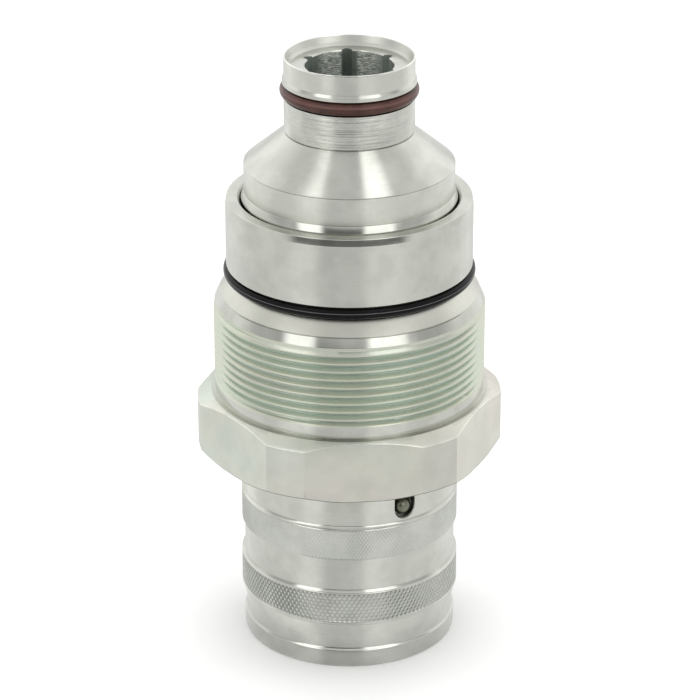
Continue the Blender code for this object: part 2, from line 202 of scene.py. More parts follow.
def shade(data, sharp):
    """Smooth shading, with edges steeper than sharp degrees kept crisp."""
    for polygon in data.polygons:
        polygon.use_smooth = True
    data.set_sharp_from_angle(angle=math.radians(sharp))


def place(node, build, body, material, sharp=30.0):
    """Adds the finished mesh in place of a CAD node and ties it to its moving body."""
    data = to_data(build, "v_" + node)
    obj = bpy.data.objects.new("v_" + node, data)
    bpy.context.scene.collection.objects.link(obj)
    data.materials.append(material)
    shade(data, sharp)
    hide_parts(node)
    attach(obj, body)
    return obj


def revolve(node, path, columns, body, material, sharp=30.0):
    shell = Shell()
    shell.rings(path, full_turn(columns))
    return place(node, shell.welded(), body, material, sharp)


def turned(node, profile, columns, body, material, fillet=FILLET, sharp=30.0):
    """A hollow turned piece from a closed profile."""
    path = rounded(profile, fillet)
    return revolve(node, path + path[:1], columns, body, material, sharp)


def round_ring(node, centre_r, centre_z, minor, body, material, sides=24, columns=192):
    path = circle(minor, sides, (centre_r, centre_z))
    return revolve(node, path + path[:1], columns, body, material, sharp=60)


def at_angle(path, angle):
    return [(radius * math.cos(angle), radius * math.sin(angle), z) for radius, z in path]


def sweep(node, sections, body, material, sharp):
    """A capped bar through a list of closed sections, each a list of points."""
    build = bmesh.new()
    rows = [[build.verts.new(point) for point in section] for section in sections]
    count = len(rows[0])
    for here, there in zip(rows, rows[1:]):
        for k in range(count):
            after = (k + 1) % count
            build.faces.new((here[k], there[k], there[after], here[after]))
    build.faces.new(rows[0])
    build.faces.new(rows[-1])
    bmesh.ops.recalc_face_normals(build, faces=build.faces)
    return place(node, build, body, material, sharp)


def split_ring(node, path, gap_angle, body, gap=15, columns=160):
    """A spring steel ring open for gap degrees about gap_angle."""
    start = math.radians(gap_angle + gap / 2)
    end = math.radians(gap_angle + 360 - gap / 2)
    sections = [at_angle(path, start + (end - start) * i / columns) for i in range(columns + 1)]
    return sweep(node, sections, body, SPRING, sharp=40)


def coil(node, mean_r, wire, low_z, high_z, live, body, steps=48, sides=14):
    """A compression spring with closed ends and a number of live turns between them."""
    closed = wire * 1.09
    low, high = low_z + wire / 2, high_z - wire / 2
    pitch = (high - low - 2 * closed) / live
    turns = live + 2
    blend = 0.08  # turns over which a change of pitch is evened out

    def height(t):
        if t < 1:
            return low + closed * t
        if t > live + 1:
            return high - closed * (turns - t)
        return low + closed + pitch * (t - 1)

    sections = []
    total = round(turns * steps)
    for i in range(total + 1):
        t = turns * i / total
        z = height(t)
        if 0.1 < t < turns - 0.1:
            z = (height(t - blend) + height(t) + height(t + blend)) / 3
        sections.append(at_angle(circle(wire / 2, sides, (mean_r, z)), TAU * t))
    return sweep(node, sections, body, SPRING, sharp=50)


def ball(node, radius, body, material, proud=0.0):
    """A ball centred on its CAD node, moved out from the axis by proud."""
    low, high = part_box(node)
    centre = (Vector(low) + Vector(high)) / 2 / MM - Vector((0, 0, LIFT))
    centre += Vector((centre.x, centre.y, 0)).normalized() * proud
    build = bmesh.new()
    bmesh.ops.create_icosphere(build, subdivisions=4, radius=radius)
    bmesh.ops.translate(build, verts=build.verts, vec=centre)
    return place(node, build, body, material, sharp=80)


def outward(degrees, z):
    """Turns local Z away from the axis at the given angle and height, local Y up."""
    angle = math.radians(degrees)
    away = Vector((math.cos(angle), math.sin(angle), 0))
    up = Vector((0, 0, 1))
    turn = Matrix((up.cross(away), up, away)).transposed().to_4x4()
    return Matrix.Translation(Vector((0, 0, z))) @ turn


def stack(build, layers, transform):
    """A closed solid through outlines [(outline, height), ...] of equal length."""
    rows = [
        [build.verts.new(transform @ Vector((x, y, height))) for x, y in outline]
        for outline, height in layers
    ]
    count = len(rows[0])
    for here, there in zip(rows, rows[1:]):
        for k in range(count):
            after = (k + 1) % count
            build.faces.new((here[k], here[after], there[after], there[k]))
    build.faces.new(rows[0][::-1])
    build.faces.new(rows[-1])


def carve(obj, build, sharp=30.0):
    """Cuts the shapes in build from obj and applies the cut."""
    bmesh.ops.recalc_face_normals(build, faces=build.faces)
    cutter = bpy.data.objects.new("cutter", to_data(build, "cutter"))
    bpy.context.scene.collection.objects.link(cutter)
    modifier = obj.modifiers.new("cut", "BOOLEAN")
    modifier.operation = "DIFFERENCE"
    modifier.solver = "MANIFOLD"
    modifier.object = cutter
    bpy.context.view_layer.update()
    graph = bpy.context.evaluated_depsgraph_get()
    result = bpy.data.meshes.new_from_object(obj.evaluated_get(graph), depsgraph=graph)
    obj.modifiers.clear()
    material = obj.data.materials[0]
    obj.data = result
    result.materials.clear()
    result.materials.append(material)
    for polygon in result.polygons:
        polygon.material_index = 0
    shade(result, sharp)
    bpy.data.objects.remove(cutter, do_unlink=True)


def faces(obj):
    """Each face with its angle, radius and height, the last two in mm."""
    for polygon in obj.data.polygons:
        x, y, z = polygon.center
        yield polygon, math.atan2(y, x), math.hypot(x, y) / MM, z / MM - LIFT


def finish_zones(obj, zones):
    """Gives faces the finish of the first zone they lie in.

    A zone is (material, inner radius, outer radius, low, high).
    """
    slots = obj.data.materials
    for zone in zones:
        if zone[0].name not in slots:
            slots.append(zone[0])
    names = [material.name for material in slots]
    for polygon, _, radius, z in faces(obj):
        for material, inner, outer, low, high in zones:
            if inner < radius < outer and low < z < high:
                polygon.material_index = names.index(material.name)
                break


# ---------------------------------------------------------------- shader nodes


class Net:
    """Adds shader nodes; an input may be a plain value or another node's output."""

    def __init__(self, tree):
        self.tree = tree

    def new(self, kind, **values):
        node = self.tree.nodes.new(kind)
        for key, value in values.items():
            setattr(node, key, value)
        return node

    def feed(self, socket, value):
        if isinstance(value, bpy.types.NodeSocket):
            self.tree.links.new(value, socket)
        else:
            socket.default_value = value

    def math(self, operation, first, second=0.0, clamp=False):
        node = self.new("ShaderNodeMath", operation=operation, use_clamp=clamp)
        self.feed(node.inputs[0], first)
        self.feed(node.inputs[1], second)
        return node.outputs[0]

    def plus(self, first, second, clamp=False):
        return self.math("ADD", first, second, clamp)

    def times(self, product, *factors):
        for factor in factors:
            product = self.math("MULTIPLY", product, factor)
        return product

    def swing(self, value, amount):
        """A 0..1 value centred on zero and scaled."""
        return self.times(self.math("SUBTRACT", value, 0.5), amount)

    def smooth(self, value, low, high, start=0.0, end=1.0):
        """Eases from start to end as value goes from low to high."""
        node = self.new("ShaderNodeMapRange", interpolation_type="SMOOTHSTEP")
        self.feed(node.inputs["Value"], value)
        node.inputs["From Min"].default_value = low
        node.inputs["From Max"].default_value = high
        node.inputs["To Min"].default_value = start
        node.inputs["To Max"].default_value = end
        return node.outputs["Result"]

    def window(self, value, low, high, soft):
        """One between low and high, zero outside, with edges eased over +-soft."""
        rise = self.smooth(value, low - soft, low + soft)
        fall = self.smooth(value, high - soft, high + soft, start=1.0, end=0.0)
        return self.times(rise, fall)

    def mix(self, factor, first, second):
        node = self.new("ShaderNodeMix", data_type="RGBA")
        self.feed(node.inputs["Factor"], factor)
        # inputs 6 and 7 and output 2 are the colour sockets
        self.feed(node.inputs[6], first)
        self.feed(node.inputs[7], second)
        return node.outputs[2]

    def ramp(self, value, stops):
        """A colour ramp through stops [(position, rgb), ...]."""
        node = self.new("ShaderNodeValToRGB")
        elements = node.color_ramp.elements
        for element, (position, rgb) in ((elements[0], stops[0]), (elements[-1], stops[-1])):
            element.position = position
            element.color = colour(rgb)
        for position, rgb in stops[1:-1]:
            elements.new(position).color = colour(rgb)
        self.feed(node.inputs["Fac"], value)
        return node.outputs["Color"]

    def noise(self, vector, scale, detail=2.0, rough=0.5):
        node = self.new("ShaderNodeTexNoise")
        self.feed(node.inputs["Vector"], vector)
        node.inputs["Scale"].default_value = scale
        node.inputs["Detail"].default_value = detail
        node.inputs["Roughness"].default_value = rough
        return node.outputs["Fac"]

    def combine(self, *values):
        node = self.new("ShaderNodeCombineXYZ")
        for socket, value in zip(node.inputs, values):
            self.feed(socket, value)
        return node.outputs[0]

    def split(self, vector):
        node = self.new("ShaderNodeSeparateXYZ")
        self.feed(node.inputs[0], vector)
        return node.outputs

    def scale(self, vector, factor):
        node = self.new("ShaderNodeVectorMath", operation="SCALE")
        self.feed(node.inputs[0], vector)
        self.feed(node.inputs["Scale"], factor)
        return node.outputs[0]

    def bump(self, height, strength, distance):
        node = self.new("ShaderNodeBump")
        node.inputs["Strength"].default_value = strength
        node.inputs["Distance"].default_value = distance
        self.feed(node.inputs["Height"], height)
        return node.outputs[0]

    def object_mm(self):
        """Object coordinates in millimetres."""
        return self.scale(self.new("ShaderNodeTexCoord").outputs["Object"], 1 / MM)

    def lathe(self, along, angle, stretch):
        """Texture space drawn out round the axis, so that noise becomes turning marks."""
        return self.combine(
            along,
            self.times(self.math("COSINE", angle), stretch),
            self.times(self.math("SINE", angle), stretch),
        )


def colour(rgb, factor=1.0):
    return tuple(min(1.0, c * factor) for c in rgb) + (1.0,)


def new_material(name):
    """A material with its node net and its Principled shader."""
    material = bpy.data.materials.new(name)
    material.use_nodes = True
    return material, Net(material.node_tree), material.node_tree.nodes["Principled BSDF"]


# ---------------------------------------------------------------- metal

RAINBOW = [
    (0.30, (0.50, 0.62, 0.66)), (0.42, (0.55, 0.66, 0.54)), (0.50, (0.66, 0.66, 0.50)),
    (0.58, (0.70, 0.56, 0.60)), (0.68, (0.52, 0.60, 0.66)),
]
# faint tints of the plating: green, straw, rose
PLATING_HUES = [
    (0.30, (0.60, 0.70, 0.63)), (0.5, (0.69, 0.685, 0.60)), (0.70, (0.72, 0.67, 0.62)),
]
# colour of the painted highlight streaks in the bore
BORE_GLINT = (0.98, 1.0, 0.93)
# colour of the painted shade in hollows
PAINTED_HOLLOW_SHADE = (0.10, 0.10, 0.095)
DIRT = (0.16, 0.16, 0.15)


def root_light_tint(net, tone, radius, near, far, inner, outer, amount):
    """Tints by distance from the axis; the lighter inner colour is painted light."""
    blend = net.smooth(radius, near, far)
    return net.mix(amount, tone, net.mix(blend, colour(inner), colour(outer)))


def drifting_hues(net, tone, where, x, amount):
    drift = net.plus(net.noise(where, scale=0.055), net.times(x, 0.004))
    return net.mix(amount, tone, net.ramp(drift, PLATING_HUES))


def painted_bore_glints(net, tone, angle, z, amount):
    """Painted highlight streaks along the turning marks, on the walls that face +Y and -Y."""
    cut = net.lathe(net.times(z, 3.0), angle, stretch=2.5)
    facing = net.math("ABSOLUTE", net.math("SINE", angle))
    lit = net.times(
        net.smooth(facing, low=0.62, high=0.86),
        net.smooth(facing, low=0.975, high=0.992, start=1.0, end=0.0),
    )
    glint_streak = net.smooth(net.noise(cut, scale=3.2, detail=3.0, rough=0.6), low=0.42, high=0.56)
    return net.mix(net.times(glint_streak, lit, amount), tone, colour(BORE_GLINT))


def shaded_foot(net, tone, z, low, high, dim):
    """Painted shade: darkens to dim from height high down to low."""
    height = net.math("SUBTRACT", z, LIFT)
    return net.scale(tone, net.smooth(height, low, high, start=dim, end=1.0))


def metal(
    name,
    tint=(0.60, 0.61, 0.565),
    rough=0.27,
    metallic=1.0,
    aniso=0.35,
    lines=0.5,  # strength of the turning marks
    line_scale=3.0,
    bump=0.06,
    vary=0.06,  # cloudy change of brightness
    smudge=0.05,  # cloudy change of roughness
    rainbow=0.0,  # coloured turning marks
    radial=None,  # arguments of root_light_tint, painted light in the thread roots
    hues=0.0,
    bore_glints=0.0,
    fade=None,  # arguments of shaded_foot
    edge=0.0,  # painted shade in the hollows
    dirt=0.0,
):
    """Plated or ground steel with turning marks, faint tint changes and smudges."""
    material, net, shader = new_material(name)
    where = net.object_mm()
    x, y, z = net.split(where)
    radius = net.math("SQRT", net.plus(net.times(x, x), net.times(y, y)))
    angle = net.math("ARCTAN2", y, x)
    # marks run across both upright and level faces
    marks = net.lathe(net.plus(z, net.times(radius, 1.37)), angle, stretch=0.25)
    fine = net.noise(marks, line_scale, detail=4.0, rough=0.65)
    broad = net.noise(marks, scale=0.45)
    cloud = net.noise(where, scale=0.16, detail=3.0, rough=0.55)
    speck = net.noise(where, scale=3.2, detail=3.0, rough=0.6)

    blend = net.smooth(cloud, low=0.35, high=0.65)
    tone = net.mix(blend, colour(tint, 1 - vary * 1.6), colour(tint, 1 + vary))
    blend = net.times(net.smooth(fine, low=0.35, high=0.7), 0.5 * lines)
    tone = net.mix(blend, tone, colour(tint))
    if rainbow > 0:
        hue = net.noise(marks, scale=1.1, detail=3.0, rough=0.6)
        tone = net.mix(rainbow, tone, net.ramp(hue, RAINBOW))
    if radial:
        tone = root_light_tint(net, tone, radius, **radial)
    if hues > 0:
        tone = drifting_hues(net, tone, where, x, hues)
    # painted highlight streaks on the bore walls that face +Y and -Y
    if bore_glints > 0:
        tone = painted_bore_glints(net, tone, angle, z, bore_glints)
    if fade:
        tone = shaded_foot(net, tone, z, **fade)
    # painted shade: darkens the hollows, where pointiness is low
    if edge > 0:
        point = net.new("ShaderNodeNewGeometry").outputs["Pointiness"]
        hollow_shade = net.smooth(point, low=0.46, high=0.50, start=1.0, end=0.0)
        tone = net.mix(net.times(hollow_shade, edge), tone, colour(PAINTED_HOLLOW_SHADE))
    if dirt > 0:
        spots = net.smooth(speck, low=0.60, high=0.75)
        tone = net.mix(net.times(spots, dirt), tone, colour(DIRT))
    net.feed(shader.inputs["Base Color"], tone)
    shader.inputs["Metallic"].default_value = metallic

    gloss = net.plus(rough, net.swing(fine, 0.16 * lines))
    gloss = net.plus(gloss, net.swing(cloud, smudge * 2))
    gloss = net.plus(gloss, net.swing(broad, 0.06), clamp=True)
    net.feed(shader.inputs["Roughness"], gloss)
    shader.inputs["Anisotropic"].default_value = aniso
    shader.inputs["Anisotropic Rotation"].default_value = 0.25
    tangent = net.new("ShaderNodeTangent", direction_type="RADIAL", axis="Z")
    net.feed(shader.inputs["Tangent"], tangent.outputs[0])
    height = net.plus(net.times(fine, lines), net.times(speck, 0.25))
    net.feed(shader.inputs["Normal"], net.bump(height, strength=bump, distance=0.0002))
    return material


# ---------------------------------------------------------------- rubber


def painted_highlight_line(net, tone, at, half, tint, amount):
    """A painted highlight line where the surface normal's Z is near at, fading over half."""
    up = net.split(net.new("ShaderNodeNewGeometry").outputs["Normal"])[2]
    line = net.times(
        net.smooth(up, at - half, at), net.smooth(up, at, at + half, start=1.0, end=0.0)
    )
    return net.mix(net.times(line, amount), tone, colour(tint))


def rubber(name, tint, rough=0.42, sheen=0.5, glint=None):
    """Soft ring material; glint holds the arguments of painted_highlight_line."""
    material, net, shader = new_material(name)
    where = net.object_mm()
    grain = net.noise(where, scale=5.0, detail=4.0, rough=0.6)
    cloud = net.noise(where, scale=0.35, detail=3.0)
    blend = net.smooth(cloud, low=0.3, high=0.7)
    tone = net.mix(blend, colour(tint, 0.75), colour(tint, 1.35))
    if glint:
        tone = painted_highlight_line(net, tone, **glint)
    net.feed(shader.inputs["Base Color"], tone)
    net.feed(shader.inputs["Roughness"], net.plus(rough, net.swing(grain, 0.2)))
    shader.inputs["Specular IOR Level"].default_value = sheen
    net.feed(shader.inputs["Normal"], net.bump(grain, strength=0.12, distance=0.0001))
    return material


# ---------------------------------------------------------------- finishes

HEX_PLATED = metal("hex_plated", tint=(0.60, 0.605, 0.56), rough=0.30, bump=0.05, hues=0.30)
HEX_FLATS = metal(
    "hex_flats", tint=(0.715, 0.72, 0.66), rough=0.34, lines=0.6, line_scale=2.2, bump=0.12,
    vary=0.08, hues=0.5, aniso=0.0,
)
SHOULDER = metal(
    "shoulder_plated", tint=(0.665, 0.675, 0.625), rough=0.25, lines=0.6, aniso=0.7
)
LIP = metal(
    "lip_plated", tint=(0.63, 0.64, 0.595), rough=0.36, lines=0.8, line_scale=5.0, bump=0.12,
    aniso=0.2,
)
# brighter tint: painted highlight along the hexagon's upper ridge
RIDGE_HIGHLIGHT = metal(
    "ridge_highlight", tint=(0.80, 0.80, 0.75), rough=0.25, lines=0.3, bump=0.02, aniso=0.0,
    vary=0.12,
)
# dark tint: painted shadow line along the hexagon's lower edge
LOWER_EDGE_SHADE = metal(
    "lower_edge_shade", tint=(0.17, 0.17, 0.16), rough=0.40, lines=0.2, bump=0.02, aniso=0.0
)
# near-white tint: painted highlight on the nose lip's outer edge
LIP_EDGE_HIGHLIGHT = metal(
    "lip_edge_highlight", tint=(0.90, 0.90, 0.86), rough=0.16, lines=0.1, bump=0.01, aniso=0.2,
    smudge=0.0,
)
FACET = metal("facet_plated", rough=0.13, lines=0.25, bump=0.03, aniso=0.3, smudge=0.02)
NECK = metal(
    "neck_plated", tint=(0.63, 0.64, 0.595), rough=0.24, lines=1.0, line_scale=5.0, bump=0.22,
    vary=0.10, aniso=0.6,
)
BORE = metal(
    "bore_steel", tint=(0.30, 0.34, 0.31), rough=0.38, lines=0.9, bump=0.30, vary=0.25,
    metallic=0.55, bore_glints=1.0,
)
# both knurls carry painted shade in their hollows (edge)
FINE_KNURL = metal(
    "knurl_fine", tint=(0.625, 0.64, 0.60), rough=0.28, lines=0.1, aniso=0.0, edge=0.08, bump=0.02
)
COARSE_KNURL = metal(
    "knurl_plated", tint=(0.57, 0.585, 0.545), rough=0.24, lines=0.1, aniso=0.0, edge=0.25,
    bump=0.02,
)
THREAD = metal(
    "thread_plated", tint=(0.54, 0.58, 0.49), rough=0.24, rainbow=0.34, lines=0.4, metallic=0.80,
    # painted light: a lighter tint in the roots lifts their shade
    radial=dict(
        near=23.0, far=23.86, inner=(0.55, 0.65, 0.585), outer=(0.585, 0.61, 0.505), amount=0.65
    ),
)
COLLAR = metal("collar_plated", rough=0.25, lines=0.6, aniso=0.7)
NOSE = metal("nose_plated", rough=0.17, line_scale=4.0, aniso=0.7)
SLEEVE = metal(
    "sleeve_plated", tint=(0.625, 0.635, 0.59), rough=0.24, lines=0.6, aniso=0.7,
    # painted shade towards the foot
    fade=dict(low=-47.0, high=-38.0, dim=0.69),
)
INNER = metal("inner_steel", tint=(0.50, 0.51, 0.50), rough=0.32, lines=0.8)
GROUND = metal("ground_steel", tint=(0.60, 0.60, 0.58), rough=0.18, lines=0.4)
SPRING = metal("spring_steel", tint=(0.30, 0.31, 0.32), rough=0.35, lines=0.0, aniso=0.0)
BALL = metal(
    "ball_steel", tint=(0.72, 0.72, 0.72), rough=0.07, lines=0.0, aniso=0.0, bump=0.0, smudge=0.01
)
# dark tint: painted shade of the notch the ball sits in; the specks are dirt
SHADED_LOCK_BALL = metal(
    "lock_ball_shaded_steel", tint=(0.20, 0.205, 0.155), rough=0.30, lines=0.0, aniso=0.0, bump=0.02,
    dirt=0.5,
)
# both rubber rings get a painted highlight line (glint)
BLACK = rubber(
    "rubber_black", (0.004, 0.004, 0.0045), rough=0.16, sheen=0.11,
    glint=dict(at=0.30, half=0.10, tint=(0.19, 0.19, 0.20), amount=0.75),
)
BROWN = rubber(
    "rubber_brown", (0.060, 0.025, 0.020), rough=0.28, sheen=0.30,
    glint=dict(at=0.36, half=0.34, tint=(0.17, 0.085, 0.075), amount=0.6),
)
PTFE = rubber("ptfe_ring", (0.62, 0.60, 0.54), rough=0.5)

# ---------------------------------------------------------------- carrier: hexagon with thread

HEX = dict(flat=25.0, corner=27.0, normal=-84.25)
HEX_COLUMNS = 360
HEX_EDGE = 0.10  # softened edge between chamfers and flats
TOP_CHAMFER_R, TOP_CHAMFER_DROP = 24.6, 1.39
FOOT_CHAMFER_R, FOOT_CHAMFER_RISE = 25.2, 1.06
THREAD_TOP, THREAD_FOOT = 17.0, 2.3
THREAD_R, THREAD_DEPTH, PITCH = 23.9, 0.86, 1.5
VALLEY = 15.3  # height of a root at angle zero
# one pitch of thread, (place in pitches, share of full depth): flat crest, rounded root
THREAD_FORM = [
    (-0.50, 0.0), (-0.43, 0.0), (-0.39, 0.05), (-0.08, 0.93), (-0.04, 0.985), (0.0, 1.0),
    (0.04, 0.985), (0.08, 0.93), (0.39, 0.05), (0.43, 0.0),
]


def thread_crest(z):
    """Crest radius: straight, then tapering inwards near the top."""
    return np.minimum(THREAD_R, THREAD_R - 0.445 * (z - 16.3))


# from the thread's upper end over the top and down the bore to the hexagon's underside
ABOVE_THREAD = [
    (float(thread_crest(THREAD_TOP)), THREAD_TOP, 0),
    (float(thread_crest(THREAD_TOP + 0.05)), THREAD_TOP + 0.05, 0),
    (float(thread_crest(THREAD_TOP + 0.12)), THREAD_TOP + 0.12, 0),
    (22.88, 18.52, 0), (22.70, 18.57, 0), (22.72, 18.70, 0), (20.95, 21.15, 0.15),
    (20.2, 21.15, 0.1), (20.2, 28.0, 0.2), (18.6, 28.0, 0.1), (18.6, 5.5, 0.05),
    (17.1, 5.5, 0.1), (17.1, 0.0, 0.05), (19.0, 0.0, 0.05), (19.0, -2.2, 0.05),
    (17.1, -2.2, 0.05), (17.1, -6.0, 0.05), (18.4, -6.0, 0.05), (18.4, -8.0, 0.05),
    (17.1, -8.0, 0.05), (17.1, -9.0, 0.05), (20.2, -9.0, 0.05),
    (20.2, 0.3 - HEX_HEIGHT, 0.0), (20.5, -HEX_HEIGHT, 0),
]
# plain band and undercut between the thread and the seat face
BELOW_THREAD = [
    (THREAD_R, THREAD_FOOT, 0), (THREAD_R, THREAD_FOOT - 0.05, 0),
    (THREAD_R, THREAD_FOOT - 0.12, 0), (23.85, 0.35, 0.05), (23.6, 0.06, 0.05),
    (24.0, -0.02, 0.1), (TOP_CHAMFER_R, 0.0, 0),
]


def hex_top(radius):
    """Height of the upper turned chamfer."""
    return -(radius - TOP_CHAMFER_R) * TOP_CHAMFER_DROP / (HEX["corner"] - TOP_CHAMFER_R)


def hex_foot(radius):
    """Height of the lower turned chamfer, or of the underside within it."""
    rise = (radius - FOOT_CHAMFER_R) * FOOT_CHAMFER_RISE / (HEX["corner"] - FOOT_CHAMFER_R)
    return np.maximum(-HEX_HEIGHT + rise, -HEX_HEIGHT)


def hex_turns():
    """Column places in turns, with one on each edge between a flat and a turned corner."""
    turn = np.linspace(0, 1, HEX_COLUMNS + 1)
    reach = math.degrees(math.acos(HEX["flat"] / HEX["corner"]))
    for k in range(6):
        for side in (-reach, reach):
            place_in_turn = ((HEX["normal"] + 60 * k + side) % 360) / 360
            turn[int(round(place_in_turn * HEX_COLUMNS))] = place_in_turn
    return turn


def add_thread(shell, turn, angle):
    """A helical thread that fades out at both ends."""
    radii, heights = [], []
    for k in range(-1, int((THREAD_TOP - THREAD_FOOT) / PITCH) + 3):
        for along, deep in reversed(THREAD_FORM):
            z = VALLEY + PITCH * (turn - k) + along * PITCH
            z = np.clip(z, THREAD_FOOT, THREAD_TOP)
            fade = np.clip(np.minimum((THREAD_TOP - z) / 1.8, (z - THREAD_FOOT) / 0.75), 0, 1)
            radii.append(thread_crest(z) - THREAD_DEPTH * deep * fade)
            heights.append(z)
    shell.grid(np.array(radii), np.array(heights), angle)


def add_hexagon(shell, angle):
    """Seat face, chamfers, flats and underside."""
    outer = hex_outline(angle, **HEX)
    ones = np.ones_like(outer)
    top, foot = hex_top(outer), hex_foot(outer)
    foot_r = np.minimum(outer, FOOT_CHAMFER_R)
    soft = HEX_EDGE
    chamfered = outer > FOOT_CHAMFER_R + soft
    rows = [
        (TOP_CHAMFER_R * ones, 0.0 * ones),
        (TOP_CHAMFER_R + (outer - TOP_CHAMFER_R) * 0.35, top * 0.35),
        (TOP_CHAMFER_R + (outer - TOP_CHAMFER_R) * 0.80, top * 0.80),
        (outer - soft * 0.62, top + soft * 0.36),
        (outer - soft * 0.16, top - soft * 0.14),
        (outer, top - soft),
    ]
    for t in (0.2, 0.4, 0.6, 0.8):
        rows.append((outer, (top - soft) * (1 - t) + (foot + soft) * t))
    rows += [
        (outer, foot + soft),
        (outer - soft * 0.16, foot + soft * 0.14),
        (
            np.where(chamfered, outer - soft * 0.62, foot_r - soft * 0.3),
            np.where(chamfered, foot - soft * 0.36, foot),
        ),
        (np.minimum(foot_r, 25.0), -HEX_HEIGHT * ones),
        (20.5 * ones, -HEX_HEIGHT * ones),
    ]
    radii, heights = (np.array(column) for column in zip(*rows))
    shell.grid(radii, np.maximum(heights, -HEX_HEIGHT), angle)


def paint_hex_edge_light(obj):
    """Painted highlight on the ridge above the flats; painted shadow line on the lower edge."""
    obj.data.materials.append(RIDGE_HIGHLIGHT)
    obj.data.materials.append(LOWER_EDGE_SHADE)
    ridge = len(obj.data.materials) - 2
    for polygon, angle, radius, z in faces(obj):
        outer = float(hex_outline(angle, **HEX))
        # painted shadow line along the lower edge
        if radius > 24.85 and outer - radius < 0.06 and z < hex_foot(outer) + 0.099:
            polygon.material_index = ridge + 1
        # painted highlight along the upper ridge
        near_top = radius > 24.7 and -1.7 < z < -0.05
        if near_top and outer - radius < 0.075 and abs(z - hex_top(outer)) < 0.115:
            polygon.material_index = ridge


def make_hex_body():
    turn = hex_turns()
    angle = turn * TAU
    angle[-1] = 0.0
    shell = Shell()
    add_thread(shell, turn, angle)
    shell.rings(rounded(ABOVE_THREAD), angle)
    shell.rings(rounded(BELOW_THREAD), angle)
    add_hexagon(shell, angle)
    obj = place("hex_body", shell.welded(), "carrier", HEX_PLATED, sharp=20)
    finish_zones(obj, [
        (THREAD, 22.1, math.inf, 2.35, 16.95),
        (FACET, 22.7, math.inf, 16.95, 18.6),
        (FACET, 23.5, math.inf, 0.02, 2.35),
        (HEX_FLATS, 24.9, 26.93, -11.0, -0.2),
    ])
    paint_hex_edge_light(obj)


make_hex_body()

# ---------------------------------------------------------------- carrier: collar and rings


def make_collar():
    profile = [
        (19.1, 35.5, 0.05), (19.5, 35.9, 0.05), (21.3, 35.9, 0.06), (21.38, 35.82, 0.03),
        (21.59, 34.72, 0.05), (21.6, 34.6, 0.02), (21.6, 23.7, 0.1), (21.35, 23.45, 0.05),
        (20.35, 23.45, 0.05), (20.35, 28.15, 0), (19.1, 28.15, 0.05), (19.1, 29.35, 0.03),
        (19.9, 29.35, 0.03), (19.9, 30.65, 0.03), (19.1, 30.65, 0.03),
    ]
    obj = turned("guide_collar", profile, 240, "carrier", COLLAR)
    finish_zones(obj, [(FACET, 21.3, math.inf, 34.6, 35.9)])


def make_carrier_rings():
    round_ring("body_oring", 21.2, 22.35, 0.9, "carrier", BLACK, columns=240)
    seat = rectangle(15.3, 18.9, 28.3, 29.3)
    turned("spring_seat", seat, 160, "carrier", INNER)
    clip = rounded(rectangle(17.6, 19.7, 29.5, 30.5), 0.12)
    split_ring("seat_circlip", clip, 37.5, "carrier")
    round_ring("rod_seal", 17.95, -1.1, 0.86, "carrier", BLACK)
    wiper = [
        (17.1, -7.85), (18.25, -7.85), (18.25, -6.15), (17.35, -6.15), (17.35, -6.9),
        (17.08, -7.3),
    ]
    turned("wiper_ring", wiper, 160, "carrier", PTFE, fillet=0.05)


make_collar()
make_carrier_rings()

# ---------------------------------------------------------------- core: nose adapter

NECK_R = 11.3
# rim, groove for the ring and down to the neck
NOSE_TOP = [
    (7.6, 59.45, 0), (7.75, 59.6, 0.03), (10.1, 59.6, 0.1), (10.42, 60.1, 0.03),
    (10.5, 60.1, 0.03), (11.0, 61.2, 0.1), (11.12, 61.3, 0.04), (11.27, 61.28, 0.04),
    (NECK_R, 61.1, 0.05), (NECK_R, 57.8, 0.15), (11.6, 57.3, 0.1), (11.6, 56.7, 0.05),
    (11.5, 56.62, 0.03), (9.6, 56.62, 0.1), (9.6, 54.0, 0.1),
]
# cone, wide shoulder, lower tube and bore
NOSE_BELOW = [
    (NECK_R, 48.2, 0.03), (10.98, 48.07, 0.03), (11.0, 47.97, 0.02), (11.32, 47.88, 0.04),
    (18.26, 42.14, 0.04), (18.35, 42.08, 0.02), (18.35, 42.02, 0.02), (18.24, 41.95, 0),
    (18.35, 41.87, 0), (18.35, 37.2, 0.02), (18.27, 37.13, 0), (18.37, 37.05, 0.02),
    (18.83, 35.92, 0.05), (18.85, 33.0, 0.1), (15.0, 33.0, 0.1), (15.0, 10.3, 0.1),
    (14.0, 10.3, 0.05), (14.0, 0.4, 0.05), (12.6, 0.4, 0.05), (12.6, -1.8, 0.05),
    (14.0, -1.8, 0.05), (13.7, -3.0, 0.1), (10.5, -3.0, 0.1), (10.5, 13.7, 0.05),
    (9.0, 13.7, 0.05), (9.0, 42.5, 0.1), (7.6, 44.0, 0.1),
]


def neck_marks():
    """Turning marks of uneven depth and spacing down the neck."""
    neck = [(NECK_R, 54.0, 0.05)]
    z, k = 53.8, 0
    while z > 48.45:
        # irrational steps scatter the sizes without repeating
        depth = 0.012 + 0.045 * ((k * 0.618034) % 1.0) ** 2
        width = 0.10 + 0.08 * ((k * 0.754878) % 1.0)
        neck += [(NECK_R, z, 0), (NECK_R - depth, z - width * 0.6, 0), (NECK_R, z - width, 0)]
        z -= width + 0.06 + 0.22 * ((k * 0.381966 + 0.3) % 1.0)
        k += 1
    return neck


